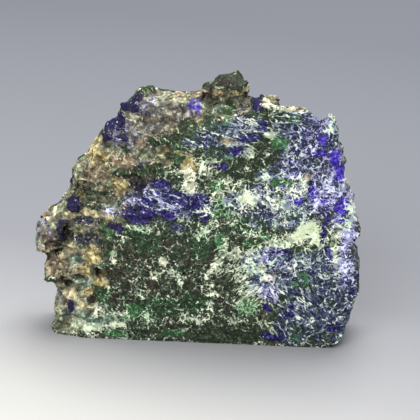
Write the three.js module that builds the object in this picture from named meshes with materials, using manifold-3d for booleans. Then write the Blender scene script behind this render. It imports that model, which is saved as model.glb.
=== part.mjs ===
// Azurite-malachite slice: one piece of copper ore, sawn flat in front and behind and left as it
// broke round its rim. It stands upright on a sawn edge. The saw only just reached the upper left
// and the left side, so the nodule's own skin slopes back there in lumps and ledges. A knob of
// dark malachite stands on the top rim, and small azurite crystals grow beside it.
//
// Millimetres, +Z up, +X to the right seen from the front, +Y away from the front. The origin is
// the middle of the bounding box's underside, on the sawn edge that the slice stands on.

import * as THREE from "three";
import { ImprovedNoise } from "three/addons/math/ImprovedNoise.js";
import { mergeVertices } from "three/addons/utils/BufferGeometryUtils.js";
import Module from "manifold-3d";

// Driving dimensions.
const THICKNESS = 12.5; // between the two sawn faces
const FRONT_Y = -THICKNESS / 2;
const BACK_Y = THICKNESS / 2;
const SAWN_AWAY = 3; // how far the uncut nodule reaches past each saw cut
const RIM_ROUND = 2.6; // how far the rim bulges out past the sawn faces' edges
const CENTRE = new THREE.Vector2(0, 27); // a point that the whole outline can be seen from
const LEAN = 2; // how much higher than its middle the upper right of the rim stands in front

// Half-way through the slice, going up the right side from the base: [x, z].
const OUTLINE = [
  [14, -4], [20, -3.2], [26, -1.2], [30.4, 0.7], [33.5, 3.2], [35.1, 7.4], [36.2, 12.2], [36.8, 17],
  [36.4, 20.5], [34.7, 23.2], [35.4, 26], [36.2, 28.6], [35.2, 33.5], [33.4, 39],
  [32.6, 44], [31.1, 48], [30.8, 52.4], [29.2, 54.9], [26.5, 53.6], [23.2, 55.4],
  [18.5, 56], [14, 57.8], [10.5, 57.2], [5.5, 57.4], [1, 57.8], [-4.5, 57.7],
  [-9, 57.2], [-11.6, 58.1], [-14.2, 57], [-16.4, 55.2], [-18, 52.4], [-20.8, 50],
  [-23.8, 46.2], [-26, 42.6], [-28.6, 39.4], [-29.8, 35.2], [-31.8, 31.6], [-34.2, 28.8],
  [-37.6, 26.8], [-38.4, 23.2], [-37.2, 20.2], [-36.2, 18], [-36.5, 16], [-35.6, 12],
  [-34.4, 9.8], [-32.8, 8.4], [-34.4, 6.6], [-35, 3], [-34.4, -1.4], [-31.5, -4],
  [-15, -4.4],
];

// How finely the nodule is divided: round the outline, across the rim, and in from the rim.
const STEPS_AROUND = 168;
const STEPS_ACROSS_RIM = 12;
const FRONT_SHARES = [
  0.16, 0.3, 0.4, 0.47, 0.52, 0.57, 0.61, 0.65, 0.69, 0.73, 0.77, 0.81, 0.85, 0.89, 0.925, 0.96, 1,
];
const BACK_SHARES = [1, 0.9, 0.75, 0.5, 0.25];

// The saw missed two parts of the front. Each starts at a line, given by a point on it and the
// way that the skin falls back from there, in degrees up from the right, and drops by so many
// millimetres for each one of way.
const UNCUT_PARTS = [
  { from: [11, 58], way: 129, fall: 0.34 },
  { from: [-19.5, 12], way: 160, fall: 0.25 },
];
// Behind, only the upper corner over the knob was left uncut.
const UNCUT_BEHIND = { from: [22, 50], way: 57, fall: 0.5 };

// Ledges that run across the uncut skin, which steps back above each: height at the middle of the
// ledge, its rise to the right, its ends from left to right, and the step.
const LEDGES = [
  { z: 33.2, rise: -0.1, ends: [-34, -12], step: 1.2 },
  { z: 38.6, rise: 0.12, ends: [-31, -12], step: 0.8 },
  { z: 44.6, rise: 0.3, ends: [-27, -4], step: 1.3 },
  { z: 51.4, rise: 0.28, ends: [-22, 3], step: 1.2 },
  { z: 56.4, rise: 0.1, ends: [-12, 7], step: 1.4 },
  { z: 25.6, rise: 0.25, ends: [-38, -27], step: 0.9 },
];

// Cracks that cut into the left side: height at the left, rise to the right, half width, depth,
// and how far to the right they reach.
const CRACKS = [
  { z: 18.6, rise: 0.2, halfWidth: 0.8, depth: 1.5, reach: -26 },
  { z: 9.2, rise: 0.35, halfWidth: 0.9, depth: 1.7, reach: -24 },
  { z: 27, rise: 0.3, halfWidth: 0.7, depth: 0.9, reach: -28 },
];

const noise = new ImprovedNoise();

// A repeatable number from 0 to 1 for a whole-numbered place.
function hashed(i, j, k) {
  const wave = Math.sin(i * 127.1 + j * 311.7 + k * 74.7) * 43758.5453;
  return wave - Math.floor(wave);
}

// Smooth noise from about -0.7 to 0.7, whose lumps are about `size` across.
function smooth(p, size, shift = 0) {
  return noise.noise(p.x / size + shift, p.y / size + shift, p.z / size - shift);
}

// The nearest of a jittered grid of points, one to each cell: how far off it is, as a share of
// the cell, and a number that belongs to it.
function nearestSeed(p, size) {
  const [u, v, w] = [p.x / size.x, p.y / size.y, p.z / size.z];
  const [i0, j0, k0] = [Math.floor(u), Math.floor(v), Math.floor(w)];
  let best = { off: Infinity, own: 0 };
  for (let i = i0 - 1; i <= i0 + 1; i++)
    for (let j = j0 - 1; j <= j0 + 1; j++)
      for (let k = k0 - 1; k <= k0 + 1; k++) {
        const off = Math.hypot(
          i + hashed(i, j, k) - u,
          j + hashed(j, k, i + 9) - v,
          k + hashed(k, i, j + 5) - w,
        );
        if (off < best.off) best = { off, own: hashed(i + 3, j + 7, k + 1) };
      }
  return best;
}

const BLOCKS = new THREE.Vector3(6.4, 5.4, 3.6);
const KNOBBLES = new THREE.Vector3(3.3, 3.3, 2.9);

// How far the broken skin stands out of its smooth form: broad swells, blocks that broke off in
// ledges, rounded knobbles and a little grit.
function skinRelief(p) {
  const swell = 1.2 * smooth(p, 9, 3);
  const block = 1.2 * (nearestSeed(p, BLOCKS).own - 0.5);
  const knobble = 0.9 * (0.45 - nearestSeed(p, KNOBBLES).off ** 2);
  const grit = 0.5 * smooth(p, 2.4, 11);
  return swell + block + knobble + grit - crackDepth(p);
}

function crackDepth(p) {
  let depth = 0;
  for (const crack of CRACKS) {
    const off = (p.z - crack.z - crack.rise * (p.x + 36) - 0.8 * smooth(p, 4, 5)) / crack.halfWidth;
    const fade = THREE.MathUtils.clamp((crack.reach - p.x) / 4, 0, 1);
    depth += crack.depth * fade * Math.exp(-off * off);
  }
  return depth;
}

// The upper right of the rim slopes down to the back.
function leaned(p) {
  const share = THREE.MathUtils.smoothstep(p.x, 8, 16) * THREE.MathUtils.smoothstep(p.z, 46, 55);
  return p.setZ(p.z - LEAN * share * THREE.MathUtils.clamp(p.y / BACK_Y, -1, 1));
}

function fallOf(part, x, z) {
  const way = THREE.MathUtils.degToRad(part.way);
  const along = (x - part.from[0]) * Math.cos(way) + (z - part.from[1]) * Math.sin(way);
  return along * part.fall;
}

function ledgeSteps(x, z) {
  let back = 0;
  for (const { z: height, rise, ends, step } of LEDGES) {
    const middle = (ends[0] + ends[1]) / 2;
    const over = z - height - rise * (x - middle) - 1.2 * noise.noise(x / 3, 7, z / 6);
    const along = Math.abs(x - middle) / (ends[1] - ends[0]);
    const share = THREE.MathUtils.smoothstep(over, -0.5, 0.5) - THREE.MathUtils.smoothstep(over, 2, 9);
    back += step * share * (1 - THREE.MathUtils.smoothstep(along, 0.4, 0.55));
  }
  return back;
}

// The nodule's smooth front and back before sawing. Where they pass the cuts, the saw trims them.
function frontSkin(x, z) {
  const fall = Math.max(...UNCUT_PARTS.map((part) => fallOf(part, x, z))) + ledgeSteps(x, z);
  return FRONT_Y + THREE.MathUtils.clamp(fall, -SAWN_AWAY, 0.62 * THICKNESS);
}
function backSkin(x, z) {
  return BACK_Y - THREE.MathUtils.clamp(fallOf(UNCUT_BEHIND, x, z), -SAWN_AWAY, 3.5);
}

async function loadManifold() {
  const wasm = await Module();
  wasm.setup();
  return wasm;
}
const wasm = await loadManifold();

// A closed three.js geometry as a solid, and back.
function solidOf(geometry) {
  const bare = geometry.clone();
  bare.deleteAttribute("normal");
  bare.deleteAttribute("uv");
  const merged = mergeVertices(bare, 1e-4);
  return new wasm.Manifold(
    new wasm.Mesh({
      numProp: 3,
      vertProperties: merged.attributes.position.array,
      triVerts: new Uint32Array(merged.index.array),
    }),
  );
}
function geometryOf(solid) {
  const mesh = solid.getMesh();
  const geometry = new THREE.BufferGeometry();
  geometry.setAttribute("position", new THREE.BufferAttribute(mesh.vertProperties, 3));
  geometry.setIndex(new THREE.BufferAttribute(mesh.triVerts, 1));
  return geometry;
}

// The nodule before sawing: rings of points from the middle of the front, out to the rim, across
// it and in again to the middle of the back.
function nodule() {
  const curve = new THREE.CatmullRomCurve3(
    OUTLINE.map(([x, z]) => new THREE.Vector3(x, 0, z)),
    true,
    "centripetal",
  );
  const edge = curve.getSpacedPoints(STEPS_AROUND).slice(0, STEPS_AROUND);
  const rings = [];
  const ringAt = (place) => rings.push(edge.map((p) => leaned(place(p))));
  const outward = (p) => new THREE.Vector3(p.x - CENTRE.x, 0, p.z - CENTRE.y).normalize();
  const inner = (p) => p.clone().addScaledVector(outward(p), -RIM_ROUND);
  const shareOf = (p, share) => {
    const q = inner(p);
    return [CENTRE.x + (q.x - CENTRE.x) * share, CENTRE.y + (q.z - CENTRE.y) * share];
  };
  const raised = (p, normal) => p.addScaledVector(normal, skinRelief(p));

  for (const share of FRONT_SHARES)
    ringAt((p) => {
      const [x, z] = shareOf(p, share);
      return raised(new THREE.Vector3(x, frontSkin(x, z), z), new THREE.Vector3(0, -1, 0));
    });
  for (let k = 1; k < STEPS_ACROSS_RIM; k++) {
    const turn = (Math.PI * k) / STEPS_ACROSS_RIM;
    ringAt((p) => {
      const q = inner(p);
      const [front, back] = [frontSkin(q.x, q.z), backSkin(q.x, q.z)];
      const y = (front + back) / 2 - ((back - front) / 2) * Math.cos(turn);
      q.addScaledVector(outward(p), RIM_ROUND * Math.sin(turn) ** 0.7).setY(y);
      const normal = outward(p).multiplyScalar(Math.sin(turn)).setY(-Math.cos(turn));
      return raised(q, normal);
    });
  }
  for (const share of BACK_SHARES)
    ringAt((p) => {
      const [x, z] = shareOf(p, share);
      return raised(new THREE.Vector3(x, backSkin(x, z), z), new THREE.Vector3(0, 1, 0));
    });

  const points = rings.flat();
  const middleOfFront = points.push(new THREE.Vector3(CENTRE.x, frontSkin(...CENTRE), CENTRE.y)) - 1;
  const middleOfBack = points.push(new THREE.Vector3(CENTRE.x, backSkin(...CENTRE), CENTRE.y)) - 1;
  const triangles = [];
  const last = rings.length - 1;
  for (let i = 0; i < STEPS_AROUND; i++) {
    const next = (i + 1) % STEPS_AROUND;
    triangles.push(middleOfFront, i, next);
    for (let r = 0; r < last; r++) {
      const [a, b] = [r * STEPS_AROUND + i, r * STEPS_AROUND + next];
      const [c, d] = [a + STEPS_AROUND, b + STEPS_AROUND];
      triangles.push(a, c, b, b, c, d);
    }
    triangles.push(middleOfBack, last * STEPS_AROUND + next, last * STEPS_AROUND + i);
  }
  const geometry = new THREE.BufferGeometry().setFromPoints(points);
  geometry.setIndex(triangles);
  return geometry;
}

// A round lump with a knobbly skin, stretched to its own size and turned about Y.
function lump({ at, size, turn = 0, detail = 2 }) {
  const ball = mergeVertices(stripped(new THREE.IcosahedronGeometry(1, detail)), 1e-4);
  const place = ball.attributes.position;
  const p = new THREE.Vector3();
  for (let i = 0; i < place.count; i++) {
    p.fromBufferAttribute(place, i);
    const spot = p.clone().multiply(new THREE.Vector3(...size)).add(new THREE.Vector3(...at));
    const swell = 0.5 * smooth(spot, 4.2, 7) + 0.3 * (0.5 - nearestSeed(spot, KNOBBLES).off);
    const blocky = 0.3 * (nearestSeed(spot, BLOCKS).own - 0.5);
    p.multiplyScalar(1 + swell + blocky);
    place.setXYZ(i, p.x, p.y, p.z);
  }
  return placed(ball, at, new THREE.Euler(0, turn, 0), size);
}

function stripped(geometry) {
  geometry.deleteAttribute("normal");
  geometry.deleteAttribute("uv");
  return geometry;
}

function placed(geometry, at, euler, size = [1, 1, 1]) {
  const matrix = new THREE.Matrix4().compose(
    new THREE.Vector3(...at),
    new THREE.Quaternion().setFromEuler(euler),
    new THREE.Vector3(...size),
  );
  return solidOf(geometry.applyMatrix4(matrix));
}

// The dark knob and the smaller lumps that stand on the rim: centre, and half-size each way.
const LUMPS = [
  { at: [7.2, 1.8, 59.4], size: [3.2, 3.2, 4] },
  { at: [5.3, 1.6, 60.2], size: [3, 2.9, 3.3] },
  { at: [8.8, 1.4, 58.8], size: [2.4, 2.8, 3.9] },
  { at: [4.4, 1, 59.2], size: [2.4, 2.6, 3] },
  { at: [2, 2.4, 58.2], size: [2.6, 2.8, 2.4] },
  { at: [-12.2, 3, 56.6], size: [2.6, 2.6, 1.9] },
  { at: [-16.6, 2.4, 53.6], size: [2.3, 2.8, 2.4] },
  { at: [15.2, 2, 57.6], size: [2.5, 1.8, 0.9], turn: 0.2, detail: 1 },
  { at: [28.8, -3, 54.2], size: [1.7, 2.6, 1.9], detail: 1 },
  { at: [-35.2, 0, 23.2], size: [3.8, 4.6, 4] },
  { at: [-33.4, -0.5, 14.4], size: [3.6, 4.2, 3.5] },
  { at: [-32, 0, 4.6], size: [3.4, 4.6, 3.6] },
];

// Clusters of short six-sided azurite crystals: where they root, how far they spread, how many.
const CRYSTAL_CLUSTERS = [
  { root: [-1, -0.6, 56.6], spread: [2.2, 0.7, 1.1], count: 9, size: 0.95 },
  { root: [12.4, -2, 57.2], spread: [1.3, 0.9, 0.9], count: 7, size: 0.85 },
  { root: [-28.4, -3, 32.4], spread: [1.8, 0.5, 1.5], count: 8, size: 0.8 },
  { root: [-20.6, 0, 49], spread: [1.3, 1.1, 1.3], count: 7, size: 0.85 },
  { root: [-31, -3.4, 26.6], spread: [0.9, 0.5, 1.3], count: 6, size: 0.75 },
];

function crystals({ root, spread, count, size }, cluster) {
  const made = [];
  for (let n = 0; n < count; n++) {
    const share = (k) => hashed(cluster + 1, n + 2, k) - 0.5;
    const at = root.map((value, axis) => value + 2 * spread[axis] * share(axis));
    const width = size * (0.75 + 0.5 * hashed(n, cluster, 4));
    const tilt = new THREE.Euler(0.9 + 1.2 * share(5), 2.4 * share(6), 1.6 * share(7));
    made.push(placed(new THREE.CylinderGeometry(0.55 * width, width, 2.6 * width, 6), at, tilt));
  }
  return made;
}

// Pits and vugs that the saw opened in the front: centre, half-length, half-height and depth.
const FRONT_PITS = [
  { at: [-17.5, 16.5], half: [1, 0.5], depth: 0.9 },
  { at: [-3, 17.5], half: [0.5, 0.7], depth: 0.8 },
  { at: [-4.5, 12], half: [0.6, 0.8], depth: 0.7 },
  { at: [17.5, 18], half: [1.2, 0.5], depth: 0.8, turn: 0.5 },
  { at: [15, 7.5], half: [0.7, 1.2], depth: 0.7, turn: 0.2 },
  { at: [6, 19.5], half: [0.5, 0.9], depth: 0.7 },
  { at: [31.5, 30], half: [1.3, 0.5], depth: 0.9 },
  { at: [-22, 17], half: [1.7, 0.9], depth: 1.4, turn: -0.3 },
  { at: [-29.5, 12], half: [1.8, 0.7], depth: 1.5, turn: 0.25 },
  { at: [25, 41], half: [0.9, 0.6], depth: 0.8, turn: -0.4 },
  { at: [-10, 31], half: [1.2, 0.5], depth: 0.7, turn: 0.3 },
];
// The same behind.
const BACK_PITS = [
  { at: [-12, 38], half: [1.5, 0.8], depth: 1.1, turn: 0.4 },
  { at: [17, 22], half: [1.1, 1.4], depth: 1, turn: 0.2 },
  { at: [4, 46], half: [0.8, 0.7], depth: 0.8 },
  { at: [-24, 14], half: [1.4, 0.6], depth: 0.9, turn: -0.5 },
  { at: [25, 36], half: [0.7, 1], depth: 0.8 },
];

function pit({ at, half, depth, turn = 0 }, faceY) {
  const skinY = faceY < 0 ? Math.max(faceY, frontSkin(...at)) : faceY;
  const ball = new THREE.IcosahedronGeometry(1, 1);
  const size = [half[0], depth, half[1]];
  return placed(stripped(ball), [at[0], skinY, at[1]], new THREE.Euler(0, turn, 0), size);
}

// What the saw leaves: everything between its two cuts and above the third.
function betweenCuts() {
  const block = new THREE.BoxGeometry(100, THICKNESS, 80);
  return solidOf(block.translate(0, 0, 40));
}

function sawnSlice() {
  const grown = [...LUMPS.map(lump), ...CRYSTAL_CLUSTERS.flatMap(crystals)];
  let stone = grown.reduce((whole, piece) => whole.add(piece), solidOf(nodule()));
  stone = stone.intersect(betweenCuts());
  for (const hole of FRONT_PITS) stone = stone.subtract(pit(hole, FRONT_Y));
  for (const hole of BACK_PITS) stone = stone.subtract(pit(hole, BACK_Y));
  return stone;
}

// Puts the middle of the bounding box's underside at the origin.
function standAtOrigin(geometry) {
  geometry.computeBoundingBox();
  const { min, max } = geometry.boundingBox;
  return geometry.translate(-(min.x + max.x) / 2, -(min.y + max.y) / 2, -min.z);
}

const oreMaterial = new THREE.MeshStandardMaterial({
  color: 0x3c4a5c,
  roughness: 0.55,
  metalness: 0,
});

const slice = new THREE.Mesh(standAtOrigin(geometryOf(sawnSlice())), oreMaterial);
slice.name = "azurite_malachite_slice";

const group = new THREE.Group();
group.add(slice);

export default group;
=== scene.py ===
import math
import random

import bpy
import numpy as np
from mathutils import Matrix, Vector


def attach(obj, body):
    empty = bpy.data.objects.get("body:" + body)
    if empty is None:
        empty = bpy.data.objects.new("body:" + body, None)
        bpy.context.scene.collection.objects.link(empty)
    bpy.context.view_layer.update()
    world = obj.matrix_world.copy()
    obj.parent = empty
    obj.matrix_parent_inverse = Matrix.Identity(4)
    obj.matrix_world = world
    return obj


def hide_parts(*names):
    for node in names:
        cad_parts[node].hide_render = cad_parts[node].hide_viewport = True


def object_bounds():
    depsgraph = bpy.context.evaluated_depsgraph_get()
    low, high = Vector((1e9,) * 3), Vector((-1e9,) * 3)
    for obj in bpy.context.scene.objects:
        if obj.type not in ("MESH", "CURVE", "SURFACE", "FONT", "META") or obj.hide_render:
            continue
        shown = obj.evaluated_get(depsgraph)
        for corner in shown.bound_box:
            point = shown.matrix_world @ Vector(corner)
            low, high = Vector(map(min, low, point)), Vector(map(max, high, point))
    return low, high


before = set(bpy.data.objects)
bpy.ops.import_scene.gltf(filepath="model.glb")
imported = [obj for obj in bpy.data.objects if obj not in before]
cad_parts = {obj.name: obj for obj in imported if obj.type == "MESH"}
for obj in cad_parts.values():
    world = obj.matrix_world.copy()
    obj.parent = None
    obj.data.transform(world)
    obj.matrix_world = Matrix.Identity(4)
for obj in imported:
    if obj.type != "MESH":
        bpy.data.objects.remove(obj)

cad_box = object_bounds()
bpy.ops.object.select_all(action="DESELECT")


# ---- The stone ------------------------------------------------------------------------------
# One piece of copper ore: azurite, malachite and pale chrysocolla grown through each other in dark
# rock. It is sawn flat in front, behind and below, and left as it broke round its rim and over its
# upper left corner.

STONE_GRAIN = 0.00037
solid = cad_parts["azurite_malachite_slice"]
stone = bpy.data.objects.new("stone", solid.data.copy())
bpy.context.collection.objects.link(stone)
bpy.context.view_layer.objects.active = stone
stone.select_set(True)
bpy.ops.object.mode_set(mode="EDIT")
bpy.ops.mesh.select_all(action="SELECT")
bpy.ops.mesh.remove_doubles(threshold=1e-6)
bpy.ops.object.mode_set(mode="OBJECT")
stone.data.remesh_voxel_size = STONE_GRAIN
bpy.ops.object.voxel_remesh()

# How far each point lies from the three saw cuts, in millimetres, and so how broken its skin is.
FRONT, BACK = cad_box[0][1] * 1000, cad_box[1][1] * 1000


def places(obj):
    flat = np.empty(len(obj.data.vertices) * 3)
    obj.data.vertices.foreach_get("co", flat)
    return flat.reshape(-1, 3) * 1000


def eased(value, low, high):
    share = np.clip((value - low) / (high - low), 0, 1)
    return share * share * (3 - 2 * share)


at = places(stone)
from_saw = np.minimum(np.minimum(at[:, 1] - FRONT, BACK - at[:, 1]), at[:, 2])
broken = eased(from_saw, 0.12, 0.9)


def give_group(obj, name, shares):
    group = obj.vertex_groups.new(name=name)
    for step in range(1, 21):
        chosen = np.nonzero(np.round(shares * 20) == step)[0]
        group.add(chosen.tolist(), step / 20, "REPLACE")


# The knob is stout and round, so that its skin is broken up less.
knob = eased(at[:, 2], 57.5, 59.5)
give_group(stone, "broken skin", broken * (1 - 0.6 * knob))
give_group(stone, "sawn faces", 1 - broken)

# Where each mineral shows on the front, in hundredths of the slice's width, from its left side and
# from its foot: middle, half width, half height, and where needed a turn in degrees and a strength.
HUNDREDTH = (cad_box[1][0] - cad_box[0][0]) * 10
LEFT = cad_box[0][0] * 1000

# Azurite in lumps: a broken band across the middle left, crystals in the left skin and under the
# upper left rim, and a few streaks over the middle.
azurite = [
    (34, 42, 5, 2.6), (43, 42, 2.4, 2), (46, 48, 3, 1.8), (52, 47, 2.4, 3, -30), (53, 42, 2, 1.6),
    (40, 52, 3, 1.2), (34, 50, 2.5, 1.5), (42, 49, 2, 1), (49, 45, 2, 1), (14, 42, 2.5, 2),
    (10, 35, 1.6, 2.4), (10, 31, 1.2, 1.6), (12, 9, 1, 2), (11, 47, 1.2, 1.5), (30, 72, 4, 1.2),
    (28, 68, 1.6, 2), (29, 63, 2, 1), (28, 66, 1.4, 1), (66, 67, 3, 1.2, 10),
    (62, 63, 2, 1), (58, 58, 3, 1), (68, 77, 2, 2), (72, 80, 3, 0.8, -15), (70, 71, 1.2, 1.4),
    (31, 73, 2, 1), (26, 67, 3, 1.2, 40), (24, 63, 2, 1, 40), (33, 75, 2, 0.8, 20), (79, 12, 1.4, 2.6), (74, 3, 3.5, 1.2, -10), (92, 7, 2, 1.2), (77, 32, 1.6, 1),
    (72, 13, 1, 2, 30), (27, 37, 2.5, 1), (36, 46, 3, 1), (89, 42, 0.8, 2.4, -20),
    (88, 38, 0.9, 2.8), (89, 34, 0.9, 2.4, 20),
]
# Brighter azurite: two strips down the right edge and the crystals near them.
vivid = [
    (91, 62, 1.6, 2.6), (92, 57, 1.8, 3), (93, 47, 2, 2.8), (93, 43, 1.4, 1.4), (80, 48, 2, 1.2),
    (85, 51, 1.6, 2.4, 0, 0.8), (86, 63, 2, 1.2, 0, 0.8), (82, 68, 1.4, 1, 0, 0.6), (87, 67, 1.2, 1.6, 0, 0.6), (50, 74, 2.2, 1.8, 0, 0.7),
    (88, 47, 1.4, 2.4, 0, 0.7), (76, 52, 1.2, 0.9, 0, 0.7), (90, 31, 0.9, 2, 0, 0.6),
]
# Navy rock, a fine mixture of azurite and matrix: the upper right, the middle band and the lower
# right corner.
indigo = [
    (82, 71, 9, 5), (79, 61, 7, 5), (88, 66, 4, 6), (63, 70, 8, 4), (60, 64, 6, 3), (38, 47, 10, 5), (50, 45, 6, 4),
    (85, 49, 9, 5), (76, 43, 8, 4), (70, 50, 4, 3), (86, 28, 8, 4), (89, 14, 12, 12), (81, 21, 11, 5, -35),
    (95, 24, 4, 8), (51, 66, 4, 2), (63, 47, 4, 3), (70, 42, 5, 3), (72, 56, 4, 2), (55, 66, 4, 3), (18, 37, 6, 1.6), (18, 31, 5, 2), (34, 57, 1.4, 1.8), (26, 64, 5, 3),
    (80, 7, 5, 6, -20), (73, 30, 5, 2.5), (70, 21, 4, 4, 0, 0.8), (67, 28, 3, 3, 0, 0.7), (45, 38, 3, 1.2),
]
# Green-black rock: the lower middle, and the knob on the rim.
malachite = [
    (33, 30, 8, 8), (46, 30, 6, 8), (31, 18, 7, 8), (45, 15, 12, 9), (56, 28, 5, 8), (57, 17, 8, 8), (63, 6, 7, 5),
    (45, 4, 16, 4), (62, 26, 3, 4, 0, 0.8), (62, 34, 5, 4), (60, 82, 5, 4), (55, 79, 3, 2), (64, 80, 3, 3),
    (28, 14, 4, 5),
]
# Dark olive rock, speckled: a lens in the upper middle, and along the foot.
olive = [(66, 59, 7, 3.4, 35), (70, 64, 4, 3), (73, 62, 3, 2.5), (57, 3, 8, 3), (66, 4, 5, 4), (64, 54, 5, 2)]
# Leaf-green malachite in small patches.
emerald = [
    (75, 66, 2.2, 2.5), (79, 73, 1.4, 1.8), (74, 54, 1.6, 2), (77, 54, 1.5, 1.5), (60, 61, 2, 1),
    (60, 73, 2, 2.2), (57, 52, 1.6, 1.8), (56, 43, 1.4, 1.6), (78, 44, 3.5, 1.5, 10), (71, 36, 1.6, 0.9),
    (76, 29, 1.4, 1.2), (83, 23, 1.5, 2.2), (80, 21, 1.3, 1), (80, 3, 2.2, 1.4), (66, 13, 3, 2.5),
    (23, 35, 2.5, 2.6), (32, 11, 2.6, 1.6), (30, 8, 2, 1.2), (26, 2, 3, 1.2), (44, 3, 3.2, 1.2),
    (23, 67, 1.6, 1.8), (26, 70, 1.2, 1), (58, 34, 1.4, 3),
]
# Darker, deeper green: the ledges of the upper left, and round the emerald.
deep = [
    (29, 53, 3.4, 1.5), (34, 54, 3, 2.2), (39, 56, 3, 2), (49, 70, 3, 1.2),  (56, 71, 3, 2),
    (57, 63, 3, 1.6), (18, 46, 2.2, 0.9, -15), (24, 46, 3, 0.9, -5), (20, 43, 2.4, 1.6), (33, 36, 4, 1.6),
    (67, 34, 3, 1.4), (32, 77, 3, 1.8), (37, 79, 3, 1), (24, 30, 2, 3), (22, 15, 2.5, 3), (45, 60, 3, 1.4), (43, 64, 4, 2), (48, 67, 4, 2, 0, 0.9), (30, 60, 2, 1, 0, 0.8),
    (36, 33, 4, 3), (52, 32, 3, 4), (40, 12, 5, 3), (50, 14, 4, 3), (34, 10, 4, 3), (67, 40, 5, 3), (59, 45, 4, 3), (84, 20, 3, 4, 0, 0.6), (78, 15, 2, 3, 0, 0.6),
    (90, 15, 3, 2, 0, 0.6), (81, 6, 3, 2, 0, 0.7),
    (38, 63, 1.4, 1.6),
]
# The left skin's earthy colours, from brown to cream.
brown = [
    (21, 52, 4, 2.5), (29, 57, 3.5, 1.8), (34, 62, 2, 1), (52, 77, 3.5, 1.3), (46, 77, 2.4, 1.2),
    (57, 78, 2, 1, 0, 0.8), (8, 23, 3, 2.6), (6, 31, 2, 2.4), (6, 28, 2.4, 1.2), (83, 55, 1, 2), (36, 69, 3, 1, 0, 0.7),
]
ochre = [
    (28, 49, 2.5, 3), (21, 57, 4, 2.5), (16, 45, 1.6, 1.6), (60, 66, 1.8, 1), (63, 78, 1.2, 0.8, 0, 0.8),
    (17, 22, 2, 2), (22, 19, 2.4, 2.4), (16, 10, 1.6, 1.4), (49, 58, 2.4, 3), (44, 61, 3.5, 2.5),
    (19, 26, 3, 3), (18, 15, 1.6, 2),
]
cream = [
    (19, 40, 6, 1.2), (12, 38, 2, 1), (16, 49, 1.2, 1), (49, 55, 1.6, 3, 20, 0.75), (72, 77, 3, 1.2, -20, 0.5), (79, 76, 4, 0.9, 0, 0.5), (66, 79, 1.6, 1), (12, 27, 2, 1.6),
    (12, 13, 2, 1.6), (20, 10, 2.4, 2), (6, 38, 2, 1.4, 0, 0.8), (10, 25, 1.4, 1), (9, 6, 1, 1.5), (26, 28, 1.3, 3.4),
    (41, 27, 1.2, 1.2, 0, 0.8), (73, 23, 1.8, 1.2), (49, 51, 1.4, 2),
]
# Greyish crust on the upper left skin and the left lumps.
grey = [(36, 67, 7, 5), (44, 72, 6, 3), (30, 61, 3, 2, 0, 0.8), (8, 12, 1.5, 3), (3, 35, 3, 5), (18, 50, 2, 3), (33, 74, 3, 2)]
# Chrysocolla: blue-green at the lower left, and pale and minty in solid pools to the right.
teal = [
    (15, 17, 2.6, 2.4), (14, 24, 2, 1.6), (15, 6, 7, 3), (20, 11, 4, 1.6, 0, 0.8), (25, 7, 3, 2.4), (18, 60, 2.2, 2.6),
    (21, 23, 2, 1.2), (61, 44, 1.6, 1.4), (74, 40, 1.3, 1.6), (57, 74, 2, 0.8),
]
mint = [(66, 48, 3.5, 2, 0, 0.6), (84, 39, 3, 2.4), (81, 37, 2.4, 1.4), (86, 36, 1.3, 2.4), (16, 3, 5, 0.9), (27, 5, 2.5, 0.9)]
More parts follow.
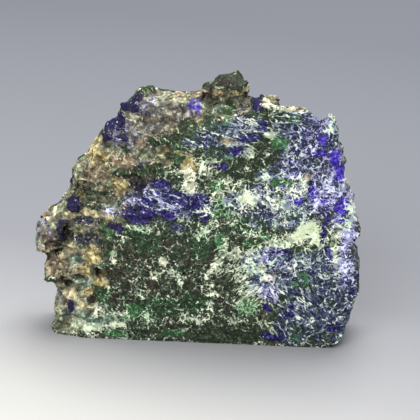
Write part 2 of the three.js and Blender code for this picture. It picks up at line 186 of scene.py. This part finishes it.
# How thickly the pale veins lie.
pale = [
    (66, 48, 5, 3, 0, 0.8), (67, 31, 3, 3, 0, 0.8), (66, 14, 4, 3, 0, 0.75), (71, 27, 4, 3, 20, 0.7), (71, 19, 3, 4, 20, 0.4), (84, 39, 4, 4, 0, 0.8), (80, 36, 3, 2), (94, 40, 4, 4), (94, 28, 3, 3), (97, 47, 3, 6),
    (95, 54, 2, 6), (90, 73, 3, 3), (93, 66, 1.2, 5), (82, 53, 1.4, 3, -20), (80, 51, 3, 2),
    (76, 34, 3.5, 1.4), (67, 26, 5, 3, 0, 0.85), (64, 24, 3, 3, 0, 0.8), (66, 18, 4, 3, 30, 0.8), (62, 30, 2.5, 2.5),
    (59, 32, 1.6, 3.5, -15), (57, 26, 2, 2.4), (55, 24, 1, 3, -35), (56, 17, 2.4, 1.6), (55, 13, 1.4, 2.4),
    (53, 36, 2, 2.6, 0, 0.8), (41, 27, 1.4, 1.6), (44, 23, 3, 0.9, -20), (39, 22, 2, 1.6, 30, 0.7),
    (46, 21, 1, 2), (34, 17, 2.4, 2.2, 0, 0.6), (36, 8, 1.6, 2, 0, 0.8), (52, 8, 2.6, 1.8), (62, 8, 2.4, 1.2),
    (47, 4, 1.8, 0.6, 25), (73, 77, 3.5, 1.3, -20, 0.8), (79, 76, 4, 1, 0, 0.8), (84, 74, 2.5, 1, -20, 0.4), (65, 79, 1.5, 1),
    (66, 62, 2, 1.8), (72, 68, 2, 1), (71, 62, 1, 0.9), (71, 55, 2, 1.3), (79, 56, 2.5, 1), (54, 58, 4, 2.4, 0, 0.6),
    (49, 52, 2, 3, 0, 0.6), (62, 52, 6, 3, 0, 0.7), (58, 47, 5, 3, 0, 0.7), (62, 42, 4, 2, 0, 0.6), (70, 52, 3, 2, 0, 0.7),
    (86, 48, 1.8, 1.5), (91, 52, 5, 7, 0, 0.65), (92, 34, 4, 4, 0, 0.7), (35, 37, 5, 1.1, -12), (18, 4, 7, 1.3), (27, 5, 2.6, 1.1), (25, 41, 3, 1.6, 0, 0.6), (28, 65, 4, 0.9, 35, 0.7), (27, 62, 4, 0.8, 15, 0.7), (33, 70, 4, 0.8, 50, 0.6),
    (78, 48, 8, 6, 0, 0.6), (88, 58, 4, 6, 0, 0.3), (74, 20, 3, 5, 0, 0.5), (80, 65, 8, 6, 0, 0.22),
    (90, 20, 6, 8, 0, 0.15), (82, 12, 5, 3, -40, 0.3), (38, 46, 8, 4, 0, 0.36), (63, 70, 6, 4, 0, 0.25), (66, 71, 4, 0.8, 0, 0.6), (62, 65, 4, 0.8, 0, 0.6), (36, 73, 3, 2.4, 0, 0.2), (42, 14, 4, 3, 0, 0.45), (50, 10, 6, 4, 0, 0.45), (36, 8, 5, 3, 0, 0.45), (56, 20, 3, 5, 0, 0.5), (28, 10, 3, 3, 0, 0.4),
    (66, 8, 4, 4, 0, 0.5), (80, 28, 6, 3, 0, 0.45), (45, 47, 2, 3, 0, 0.5), (55, 45, 5, 4, 0, 0.5), (66, 38, 4, 3, 0, 0.6), (72, 34, 3, 2, 0, 0.6),
]
# Where the veins are tinged with azurite.
lilac = [
    (90, 52, 6, 12), (84, 68, 6, 6), (96, 32, 3, 12), (74, 30, 5, 3), (73, 18, 3, 4, 20, 0.8), (25, 42, 4, 2),
    (36, 73, 4, 3), (29, 64, 5, 4), (38, 45, 8, 5), (4, 34, 4, 6), (78, 58, 5, 3),
]
# Which way the veins are drawn out: along the layers, or on a slope.
layered = [(66, 69, 10, 6), (80, 74, 8, 3), (38, 46, 10, 6), (40, 68, 12, 8)]
rising = [(58, 26, 4, 9), (66, 18, 5, 5)]
falling = [(79, 15, 8, 7), (76, 5, 6, 5)]
# Cracks and undercuts in the left skin: pressed in, and darkened with painted shade.
crevice = [
    (21, 22, 2.2, 0.8, 10), (11, 17, 2.2, 0.9, -10), (8, 29, 2.4, 0.8), (12, 33, 0.8, 2.4), (8, 26, 2, 0.7, 20),
    (19, 12, 1, 1.6, -30), (17, 48, 2.4, 0.7), (34, 52, 4, 0.7), (54, 76, 3, 0.8, -10), (15, 19, 2, 0.7),
]


# How strongly each mineral shows at a point: 1 in the middle of its patches, 0 well outside. The
# patches go on through the slice, drifting a little over its hinder half.
def shown(patches):
    behind = eased(at[:, 1], 0, BACK)
    x = at[:, 0] + 3.4 * behind * np.sin(0.21 * at[:, 2] + 0.13 * at[:, 0] + 1)
    z = at[:, 2] + 3.4 * behind * np.cos(0.17 * at[:, 0] - 0.1 * at[:, 2])
    strongest = np.zeros(len(at))
    for left, up, across, high, *rest in patches:
        turn, strength = rest + [0, 1][len(rest) :]
        cos, sin = math.cos(math.radians(turn)), math.sin(math.radians(turn))
        right, above = (x - LEFT) / HUNDREDTH - left, z / HUNDREDTH - up
        along = (right * cos + above * sin) / across
        over = (above * cos - right * sin) / high
        strongest = np.maximum(strongest, strength * (1 - eased(np.hypot(along, over), 0.45, 1.6)))
    return strongest


def give_values(obj, name, values):
    layer = obj.data.attributes.new(name, "FLOAT", "POINT")
    layer.data.foreach_set("value", values.astype(np.float32))


give_group(stone, "crevices", shown(crevice) * broken)
give_group(stone, "dark lumps", np.maximum(shown(azurite), shown(deep)) * broken)

bpy.ops.object.modifier_add(type="SMOOTH")
soften = stone.modifiers[-1]
soften.iterations = 8
soften.vertex_group = "broken skin"
bpy.ops.object.modifier_apply(modifier=soften.name)

# The broken skin's relief: kind of lump, its size in metres, and how far it stands out. The last
# one is the small pits in the sawn faces.
RELIEF = [
    ("dark lumps", None, 0, 0.0005, "dark lumps"),
    ("crevices", None, 0, -0.0012, "crevices"),
    ("lumps", "VORONOI", 0.0042, 0.0019, "broken skin"),
    ("knobbles", "VORONOI", 0.0018, 0.0008, "broken skin"),
    ("grit", "CLOUDS", 0.0009, 0.0004, "broken skin"),
    ("pits", "CLOUDS", 0.0011, -0.0005, "sawn faces"),
]
for name, kind, size, rise, where in RELIEF:
    lumps = bpy.data.textures.new(name, kind) if kind else None
    if kind:
        lumps.noise_scale = size
    if kind == "VORONOI":
        lumps.weight_1, lumps.weight_2 = -1, 1
    if name == "pits":
        lumps.use_color_ramp = True
        lumps.color_ramp.elements[0].position = 0.66
        lumps.color_ramp.elements[1].position = 0.8
    bpy.ops.object.modifier_add(type="DISPLACE")
    raised = stone.modifiers[-1]
    if kind:
        raised.texture = lumps
        raised.texture_coords = "LOCAL"
    raised.strength = rise
    raised.mid_level = 0.35 if where == "broken skin" else 0
    raised.vertex_group = where
    bpy.ops.object.modifier_apply(modifier=raised.name)
bpy.ops.object.shade_smooth()

# How deep each point lies under the skin round it, from 0 on a crest to 1 in a hollow.
at = places(stone)
ends = np.empty(len(stone.data.edges) * 2, dtype=int)
stone.data.edges.foreach_get("vertices", ends)
near, far = ends[0::2], ends[1::2]
joined = np.bincount(near, minlength=len(at)) + np.bincount(far, minlength=len(at))
level = at.copy()
for _ in range(10):
    total = np.stack(
        [
            np.bincount(near, level[far, axis], len(at)) + np.bincount(far, level[near, axis], len(at))
            for axis in range(3)
        ],
        axis=1,
    )
    level = 0.5 * level + 0.5 * total / joined[:, None]
outward = np.empty(len(at) * 3)
stone.data.vertex_normals.foreach_get("vector", outward)
under = np.einsum("ij,ij->i", level - at, outward.reshape(-1, 3))
hollow = eased(under, -0.22, 0.22)



MINERALS = {
    "azurite": azurite, "vivid": vivid, "indigo": indigo, "malachite": malachite, "olive": olive,
    "emerald": emerald, "deep": deep, "brown": brown, "ochre": ochre, "cream": cream, "grey": grey,
    "teal": teal, "mint": mint, "pale": pale, "lilac": lilac, "layered": layered, "rising": rising,
    "falling": falling, "crevice": crevice,
}
for name, patches in MINERALS.items():
    give_values(stone, name, shown(patches))
give_values(stone, "broken", broken)
give_values(stone, "hollow", hollow)


# Nodes are placed by kind, with their inputs by name, and settings as keywords.
def put(tree, kind, inputs=None, **settings):
    made = tree.nodes.new("ShaderNode" + kind)
    for name, value in settings.items():
        setattr(made, name, value)
    for name, value in (inputs or {}).items():
        if isinstance(value, bpy.types.NodeSocket):
            tree.links.new(value, made.inputs[name])
        else:
            made.inputs[name].default_value = value
    return made


def sums(tree, operation, *values):
    return put(tree, "Math", dict(enumerate(values)), operation=operation).outputs[0]


def ramped(tree, value, low, high, start=0.0, end=1.0, kind="SMOOTHSTEP"):
    ends = {"Value": value, "From Min": low, "From Max": high, "To Min": start, "To Max": end}
    return put(tree, "MapRange", ends, interpolation_type=kind).outputs[0]


def linear(red, green, blue):
    ends = [c / 255 for c in (red, green, blue)]
    return (*[c / 12.92 if c <= 0.04045 else ((c + 0.055) / 1.055) ** 2.4 for c in ends], 1)


def new_group(name, inputs, outputs):
    tree = bpy.data.node_groups.new(name, "ShaderNodeTree")
    for label, kind, value in inputs:
        socket = tree.interface.new_socket(label, in_out="INPUT", socket_type="NodeSocket" + kind)
        if value is not None:
            socket.default_value = value
    for label, kind in outputs:
        tree.interface.new_socket(label, in_out="OUTPUT", socket_type="NodeSocket" + kind)
    return tree, tree.nodes.new("NodeGroupInput"), tree.nodes.new("NodeGroupOutput")


# Moves a place well away, so that each turn of a pattern differs from the others.
def shifted(tree, where, turn):
    far = put(tree, "VectorMath", {0: (17.3, 31.7, 11.9), "Scale": turn}, operation="SCALE").outputs[0]
    return put(tree, "VectorMath", {0: where, 1: far}, operation="ADD").outputs[0]


# A ragged patch: a soft strength cut off by grain of its own, with a sharp, broken outline.
ragged, given, result = new_group(
    "ragged patch",
    [
        ("Place", "Vector", None),
        ("Strength", "Float", 0.5),
        ("Grain", "Float", 2.0),
        ("Raggedness", "Float", 1.0),
        ("Turn", "Float", 0.0),
        ("Edge", "Float", 0.05),
    ],
    [("Mask", "Float"), ("Rim", "Float")],
)
grain = put(
    ragged,
    "TexNoise",
    {
        "Vector": shifted(ragged, given.outputs["Place"], given.outputs["Turn"]),
        "Scale": sums(ragged, "DIVIDE", 1.0, given.outputs["Grain"]),
        "Detail": 4.0,
        "Roughness": 0.66,
    },
)
swing = sums(ragged, "MULTIPLY", sums(ragged, "SUBTRACT", grain.outputs[0], 0.5), given.outputs["Raggedness"])
present = ramped(ragged, given.outputs["Strength"], 0.0, 0.2)
cut = sums(ragged, "MULTIPLY_ADD", swing, present, given.outputs["Strength"])
low = sums(ragged, "SUBTRACT", 0.5, given.outputs["Edge"])
high = sums(ragged, "ADD", 0.5, given.outputs["Edge"])
ragged.links.new(ramped(ragged, cut, low, high), result.inputs["Mask"])
beside = sums(ragged, "ABSOLUTE", sums(ragged, "SUBTRACT", cut, 0.4))
ragged.links.new(ramped(ragged, beside, 0.0, 0.12, 1.0, 0.0), result.inputs["Rim"])

# The pale net: fine squiggling veins with specks and clots, that covers a share of the face.
net, given, result = new_group(
    "pale net",
    [("Place", "Vector", None), ("Share", "Float", 0.3), ("Turn", "Float", 0.0)],
    [("Mask", "Float"), ("Core", "Float")],
)
start = shifted(net, given.outputs["Place"], given.outputs["Turn"])
pushed = start
for scale, reach in ((0.7, 1.5), (2.6, 0.4)):
    wobble = put(net, "TexNoise", {"Vector": start, "Scale": scale, "Detail": 1.0})
    push = {0: wobble.outputs["Color"], 1: (reach, reach, reach), 2: pushed}
    pushed = put(net, "VectorMath", push, operation="MULTIPLY_ADD").outputs[0]


def cells(turn, scale, width):
    inputs = {"Vector": shifted(net, pushed, turn), "Scale": scale}
    walls = put(net, "TexVoronoi", inputs, feature="DISTANCE_TO_EDGE")
    return ramped(net, walls.outputs[0], 0.0, width, 1.0, 0.0, "LINEAR")


def squiggle(turn, scale, detail, width):
    inputs = {"Vector": shifted(net, pushed, turn), "Scale": scale, "Detail": detail, "Roughness": 0.6}
    swell = put(net, "TexNoise", inputs).outputs[0]
    off = sums(net, "ABSOLUTE", sums(net, "SUBTRACT", swell, 0.5))
    return ramped(net, off, 0.0, width, 1.0, 0.0, "LINEAR")


def grains(scale, detail, turn=0.0):
    inputs = {"Vector": shifted(net, start, turn), "Scale": scale, "Detail": detail, "Roughness": 0.65}
    return sums(net, "SUBTRACT", put(net, "TexNoise", inputs).outputs[0], 0.5)


field = sums(net, "MULTIPLY_ADD", cells(0.0, 0.42, 0.12), 0.26, 0.25)
field = sums(net, "MULTIPLY_ADD", cells(3.0, 0.95, 0.16), 0.25, field)
field = sums(net, "MULTIPLY_ADD", squiggle(6.0, 1.2, 1.0, 0.1), 0.22, field)
field = sums(net, "MULTIPLY_ADD", grains(2.0, 1.5), 0.52, field)
field = sums(net, "MULTIPLY_ADD", grains(0.45, 3.0, 7.0), 0.9, field)
level = sums(net, "MULTIPLY_ADD", given.outputs["Share"], -0.55, 0.76)
above = sums(net, "SUBTRACT", field, level)
net.links.new(ramped(net, above, -0.17, 0.05), result.inputs["Mask"])
opacity = ramped(net, grains(0.8, 1.0, 4.0), -0.1, 0.12, 0.2, 0.95)
net.links.new(sums(net, "MULTIPLY", ramped(net, above, -0.05, 0.17), opacity), result.inputs["Core"])

ore = bpy.data.materials.new("azurite malachite ore")
ore.use_nodes = True
tree = ore.node_tree
shader = tree.nodes["Principled BSDF"]
here = put(tree, "TexCoord").outputs["Object"]
place = put(tree, "VectorMath", {0: here, 1: (1000, 1000, 1000)}, operation="MULTIPLY").outputs[0]


def drawn_out(angle):
    turned = put(tree, "VectorRotate", {"Vector": place, "Angle": math.radians(angle)}, rotation_type="Y_AXIS")
    stretch = {0: turned.outputs[0], 1: (0.6, 0.95, 1.25)}
    return put(tree, "VectorMath", stretch, operation="MULTIPLY").outputs[0]


def value_of(name):
    return put(tree, "Attribute", attribute_name=name, attribute_type="GEOMETRY").outputs["Fac"]


rims = {}


def patch(name, grain, raggedness, turn, gain=1.0, edge=0.05, where=None):
    use = put(tree, "Group", node_tree=ragged)
    tree.links.new(where or place, use.inputs["Place"])
    strength = value_of(name) if isinstance(name, str) else name
    tree.links.new(sums(tree, "MULTIPLY", strength, gain), use.inputs["Strength"])
    for label, value in (("Grain", grain), ("Raggedness", raggedness), ("Turn", turn), ("Edge", edge)):
        use.inputs[label].default_value = value
    rims[name] = use.outputs["Rim"]
    return use.outputs["Mask"]


def noise_of(size, turn=0.0, detail=3.0, where=None):
    where = shifted(tree, where or place, turn)
    inputs = {"Vector": where, "Scale": 1 / size, "Detail": detail, "Roughness": 0.65}
    return put(tree, "TexNoise", inputs).outputs[0]


def ramp_of(value, *stops):
    made = put(tree, "ValToRGB", {0: value})
    elements = made.color_ramp.elements
    elements[0].position, elements[0].color = stops[0][0], linear(*stops[0][1])
    elements[1].position, elements[1].color = stops[-1][0], linear(*stops[-1][1])
    for position, colour in stops[1:-1]:
        elements.new(position).color = linear(*colour)
    return made.outputs[0]


def over(under, colour, mask):
    inputs = {"Factor": mask, "A": under, "B": colour}
    made = tree.nodes.new("ShaderNodeMix")
    made.data_type = "RGBA"
    for socket in made.inputs:
        if socket.identifier == "Factor_Float":
            tree.links.new(mask, socket)
        if socket.identifier == "A_Color":
            tree.links.new(under, socket)
        if socket.identifier == "B_Color":
            tree.links.new(colour, socket)
    return next(s for s in made.outputs if s.identifier == "Result_Color")


def blended(one, other, mask):
    made = put(tree, "Mix", data_type="FLOAT")
    for place_in, socket in ((0, mask), (2, one), (3, other)):
        tree.links.new(socket, made.inputs[place_in])
    return made.outputs[0]


def flat(red, green, blue):
    made = put(tree, "RGB")
    made.outputs[0].default_value = linear(red, green, blue)
    return made.outputs[0]


fine = noise_of(0.6, 1.0, 2.0)
coarse = noise_of(1.1, 41.0, 5.0)
middling = noise_of(1.8, 2.0)
GREEN_BLACK = ((0.3, (20, 26, 19)), (0.5, (36, 43, 33)), (0.7, (66, 75, 60)))
BROWN_BLACK = ((0.3, (22, 20, 17)), (0.5, (40, 37, 31)), (0.7, (68, 63, 53)))
DEEP_GREEN = ((0.3, (15, 25, 15)), (0.5, (32, 47, 32)), (0.7, (66, 87, 63)))
NAVY = ((0.32, (14, 18, 24)), (0.5, (34, 40, 54)), (0.7, (82, 92, 114)))
INK = ((0.3, (9, 6, 30)), (0.5, (25, 18, 66)), (0.68, (66, 58, 126)))
VIVID = ((0.3, (27, 9, 100)), (0.5, (48, 25, 144)), (0.68, (96, 77, 194)))
OLIVE = ((0.3, (20, 27, 18)), (0.55, (38, 47, 35)), (0.72, (84, 92, 76)))
EMERALD = ((0.3, (18, 36, 22)), (0.5, (40, 74, 44)), (0.68, (94, 140, 96)))
MINT = ((0.34, (98, 108, 86)), (0.5, (166, 178, 148)), (0.66, (222, 230, 198)))
TEAL = ((0.34, (34, 52, 44)), (0.5, (84, 106, 92)), (0.66, (162, 184, 164)))
CREAM = ((0.34, (112, 102, 70)), (0.48, (190, 180, 138)), (0.64, (240, 233, 202)))
OCHRE = ((0.34, (52, 44, 22)), (0.5, (134, 120, 72)), (0.66, (222, 209, 154)))
BROWN = ((0.34, (56, 47, 36)), (0.5, (122, 105, 84)), (0.66, (188, 172, 148)))
TAN = ((0.34, (46, 46, 28)), (0.5, (94, 92, 66)), (0.66, (166, 162, 134)))
SAGE = ((0.34, (46, 56, 42)), (0.5, (98, 110, 84)), (0.66, (170, 178, 148)))
GREY = ((0.34, (42, 42, 40)), (0.5, (90, 89, 86)), (0.66, (160, 157, 150)))

creamy = sums(tree, "MULTIPLY", value_of("cream"), value_of("broken"))
green = over(ramp_of(fine, *GREEN_BLACK), ramp_of(fine, *DEEP_GREEN), ramped(tree, middling, 0.42, 0.66))
rock = over(ramp_of(fine, *GREEN_BLACK), ramp_of(fine, *BROWN_BLACK), ramped(tree, noise_of(3.0, 33.0), 0.46, 0.6))
leafy = sums(tree, "MULTIPLY", ramped(tree, noise_of(2.6, 37.0, 5.0), 0.5, 0.6), ramped(tree, value_of("broken"), 0.0, 1.0, 1.0, 0.45))
rock = over(rock, ramp_of(fine, *DEEP_GREEN), leafy)
blue = over(ramp_of(fine, *NAVY), ramp_of(fine, *INK), ramped(tree, noise_of(1.5, 31.0), 0.52, 0.62))
skin = over(ramp_of(coarse, *GREY), ramp_of(coarse, *TAN), ramped(tree, middling, 0.4, 0.5))
skin = over(skin, ramp_of(coarse, *SAGE), ramped(tree, noise_of(2.6, 29.0), 0.46, 0.56))
skin = over(skin, green, ramped(tree, noise_of(2.4, 20.0), 0.6, 0.66))
colour = over(green, skin, patch("broken", 2.0, 0.8, 21.0))
colour = over(colour, blue, patch("indigo", 2.2, 3.4, 3.0, 0.88, 0.12))
colour = over(colour, ramp_of(coarse, *GREY), patch("grey", 1.5, 2.0, 4.0, 1.0, 0.15))
colour = over(colour, rock, patch("malachite", 2.2, 2.6, 5.0, 0.85, 0.12))
colour = over(colour, ramp_of(coarse, *BROWN), patch("brown", 1.8, 2.8, 6.0, 0.95, 0.18))
colour = over(colour, ramp_of(coarse, *OCHRE), patch("ochre", 1.8, 2.8, 7.0, 0.95, 0.18))
colour = over(colour, ramp_of(coarse, *CREAM), patch(creamy, 1.4, 2.2, 24.0, 1.5, 0.15))
colour = over(colour, ramp_of(coarse, *MINT), patch("mint", 1.5, 3.2, 8.0, 0.8, 0.12))
colour = over(colour, ramp_of(coarse, *TEAL), patch("teal", 1.8, 3.2, 26.0, 0.88, 0.22))
colour = over(colour, ramp_of(fine, *OLIVE), patch("olive", 2.0, 0.9, 9.0))
colour = over(colour, ramp_of(fine, *DEEP_GREEN), patch("deep", 1.4, 2.0, 15.0, 1.0, 0.1))
colour = over(colour, ramp_of(coarse, *EMERALD), patch("emerald", 1.5, 2.9, 10.0, 0.92, 0.16))
inky = over(ramp_of(fine, *INK), flat(19, 17, 42), sums(tree, "MULTIPLY", value_of("broken"), 0.75))
colour = over(colour, inky, patch("azurite", 1.4, 2.3, 11.0, 1.0, 0.08))
colour = over(colour, ramp_of(fine, *VIVID), patch("vivid", 1.4, 2.8, 14.0, 0.88, 0.3))

# Pale veins, drawn out along the layers and the shears. Each takes the tint of what it crosses,
# and is nearly white along its middle.
share = sums(tree, "MULTIPLY_ADD", value_of("pale"), 0.62, 0.13)
for name, change in (
    ("malachite", -0.17), ("olive", -0.27), ("azurite", -0.34), ("emerald", -0.06), ("deep", -0.16),
    ("vivid", -0.4), ("indigo", 0.03), ("broken", -0.1), ("mint", 0.04),
):
    share = sums(tree, "MULTIPLY_ADD", value_of(name), change, share)
clots = sums(tree, "SUBTRACT", value_of("cream"), creamy)
share = sums(tree, "MULTIPLY_ADD", clots, 0.6, share)
share = sums(tree, "MULTIPLY_ADD", sums(tree, "MULTIPLY", value_of("malachite"), value_of("broken")), -0.35, share)
lining = sums(tree, "MULTIPLY", sums(tree, "MAXIMUM", rims["azurite"], rims["deep"]), value_of("broken"))
share = sums(tree, "MULTIPLY_ADD", lining, 0.3, share)
mask, core = None, None
for turn, where, among in (
    (0.0, place, None), (5.0, drawn_out(-18), "layered"), (9.0, drawn_out(36), "rising"),
    (14.0, drawn_out(-48), "falling"),
):
    use = put(tree, "Group", {"Place": where, "Share": share, "Turn": turn}, node_tree=net)
    if among is None:
        mask, core = use.outputs["Mask"], use.outputs["Core"]
        continue
    here_too = patch(among, 5.0, 0.6, 12.0)
    mask, core = blended(mask, use.outputs["Mask"], here_too), blended(core, use.outputs["Core"], here_too)
leafy = sums(tree, "MAXIMUM", value_of("emerald"), value_of("deep"))
tint = over(flat(128, 138, 118), flat(96, 138, 98), patch(leafy, 2.0, 1.0, 16.0, 1.2, 0.3))
tint = over(tint, flat(100, 110, 134), patch("indigo", 2.0, 1.0, 17.0, 1.2, 0.3))
tint = over(tint, flat(150, 138, 112), patch("broken", 2.0, 1.0, 18.0, 1.0, 0.3))
tint = over(tint, flat(118, 116, 160), patch("lilac", 2.5, 1.2, 23.0, 1.0, 0.3))
tint = over(tint, flat(188, 200, 166), patch("mint", 1.3, 1.9, 8.0, 1.1, 0.12))
white = over(flat(228, 234, 206), flat(224, 226, 250), patch("lilac", 2.5, 1.2, 13.0, 1.0, 0.3))
white = over(white, flat(206, 228, 196), ramped(tree, noise_of(4.0, 25.0), 0.5, 0.62))
white = over(white, flat(236, 222, 182), patch("ochre", 3.0, 0.8, 19.0, 1.4, 0.3))
white = over(white, flat(238, 230, 204), patch("cream", 3.0, 0.8, 28.0, 1.4, 0.3))
white = over(white, flat(214, 228, 198), patch("mint", 1.3, 1.9, 8.0, 1.1, 0.12))
colour = over(colour, tint, mask)
colour = over(colour, white, core)

# Pale specks scattered over the dark rock: some of a jittered grid of points.
seeds = put(tree, "TexVoronoi", {"Vector": shifted(tree, place, 27.0), "Scale": 0.75})
uneven = sums(tree, "MULTIPLY_ADD", noise_of(0.5, 44.0), 0.5, seeds.outputs["Distance"])
among = sums(tree, "MULTIPLY_ADD", value_of("malachite"), 0.35, value_of("olive"))
picked = ramped(tree, sums(tree, "MULTIPLY_ADD", among, 0.16, seeds.outputs["Color"]), 0.7, 0.76)
speck = sums(tree, "MULTIPLY", ramped(tree, uneven, 0.36, 0.48, 1.0, 0.0), picked)
speck = sums(tree, "MULTIPLY", speck, ramped(tree, value_of("broken"), 0.0, 0.5, 1.0, 0.0))
colour = over(colour, flat(196, 200, 174), speck)
vein = mask

# The broken skin gets a painted highlight on its crests, and painted shade in its hollows and crevices.
crest_highlight = sums(tree, "MULTIPLY", ramped(tree, value_of("hollow"), 0.1, 0.42, 0.4, 0.0), value_of("broken"))
ores = sums(tree, "ADD", value_of("azurite"), sums(tree, "ADD", value_of("deep"), value_of("malachite")))
crest_highlight = sums(tree, "MULTIPLY", crest_highlight, ramped(tree, ores, 0.1, 0.5, 1.0, 0.0))
earthy = ramped(tree, sums(tree, "MAXIMUM", value_of("ochre"), value_of("cream")), 0.2, 0.7, 0.3, 1.0)
# Painted highlight: pale tan laid over the crests, strongest where ochre and cream lie, and kept off the dark ores.
colour = over(colour, flat(206, 196, 156), sums(tree, "MULTIPLY", crest_highlight, earthy))
# Painted shade: the hollows of the broken skin and the crevice patches are darkened towards brown black.
painted_shade = sums(tree, "MULTIPLY", ramped(tree, value_of("hollow"), 0.5, 0.95), value_of("broken"))
painted_shade = sums(tree, "MAXIMUM", sums(tree, "MULTIPLY", painted_shade, 0.65), patch("crevice", 0.9, 1.4, 22.0))
colour = over(colour, ramp_of(fine, *BROWN_BLACK), painted_shade)
tree.links.new(colour, shader.inputs["Base Color"])
rough = ramped(tree, value_of("broken"), 0, 1, 0.42, 0.68)
rough = sums(tree, "MULTIPLY_ADD", vein, 0.12, rough)
tree.links.new(rough, shader.inputs["Roughness"])
height = sums(tree, "MULTIPLY_ADD", fine, sums(tree, "MULTIPLY_ADD", value_of("broken"), 0.8, 0.2), 0.0)
height = sums(tree, "MULTIPLY_ADD", vein, 0.12, height)
bump = put(tree, "Bump", {"Height": height, "Strength": 0.7, "Distance": 0.00032})
tree.links.new(bump.outputs[0], shader.inputs["Normal"])
shader.inputs["Specular IOR Level"].default_value = 0.12
stone.data.materials.clear()
stone.data.materials.append(ore)
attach(stone, "root")
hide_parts("azurite_malachite_slice")


# ---- The room -------------------------------------------------------------------------------
# A plain pale floor that runs on behind the slice, with a large soft lamp over it, a weaker one in
# front, and a camera that looks down on the front.

bpy.ops.object.select_all(action="DESELECT")
bpy.ops.mesh.primitive_plane_add(size=3, location=(0, 0, 0))
floor = bpy.context.object
floor.name = "floor"
paper = bpy.data.materials.new("pale paper")
paper.use_nodes = True
tree = paper.node_tree
sheet = tree.nodes["Principled BSDF"]
sheet.inputs["Roughness"].default_value = 0.9
sheet.inputs["Specular IOR Level"].default_value = 0.1
here = put(tree, "TexCoord").outputs["Object"]
# Painted falloff of light on the floor: lighter in front and to the left, lifted near the slice, darker towards the
# back and the right.
spot = put(tree, "SeparateXYZ", {0: here})
away = sums(tree, "MULTIPLY_ADD", spot.outputs[0], 0.35, spot.outputs[1])
painted_falloff = put(tree, "ValToRGB", {0: ramped(tree, away, -0.06, 0.24, kind="LINEAR")})
painted_falloff.color_ramp.elements[0].color = linear(166, 165, 160)
painted_falloff.color_ramp.elements[1].color = linear(100, 102, 108)
painted_falloff.color_ramp.elements.new(0.15).color = linear(139, 139, 140)
painted_falloff.color_ramp.elements.new(0.3).color = linear(118, 119, 123)
tree.links.new(painted_falloff.outputs[0], sheet.inputs["Base Color"])
floor.data.materials.append(paper)

world = bpy.data.worlds.new("room")
bpy.context.scene.world = world
world.use_nodes = True
world.node_tree.nodes["Background"].inputs[0].default_value = (0.86, 0.9, 1, 1)
world.node_tree.nodes["Background"].inputs[1].default_value = 0.27

LAMPS = [
    ("top lamp", (0.1, 0.16, 0.8), (0, 0, 0.03), 0.6, 14),
    ("front lamp", (-0.35, -0.8, 0.55), (0, 0, 0.03), 0.7, 13.6),
]
for name, stands, faces, wide, power in LAMPS:
    lamp = bpy.data.lights.new(name, "AREA")
    lamp.size = wide
    lamp.energy = power
    holder = bpy.data.objects.new(name, lamp)
    holder.location = stands
    holder.rotation_euler = (Vector(faces) - Vector(stands)).to_track_quat("-Z", "Y").to_euler()
    bpy.context.collection.objects.link(holder)

LOOKS_AT = Vector((0.00377, -0.006, 0.0336))
DISTANCE, RISES, TURNS = 0.33, math.radians(24), math.radians(5)
eye = bpy.data.cameras.new("camera")
eye.lens = 127.3
eye.sensor_width = 36
camera = bpy.data.objects.new("camera", eye)
back = Vector(
    (
        math.sin(TURNS) * math.cos(RISES),
        -math.cos(TURNS) * math.cos(RISES),
        math.sin(RISES),
    )
)
camera.location = LOOKS_AT + back * DISTANCE
camera.rotation_euler = (-back).to_track_quat("-Z", "Y").to_euler()
bpy.context.collection.objects.link(camera)
bpy.context.scene.camera = camera
bpy.context.scene.view_settings.view_transform = "Standard"
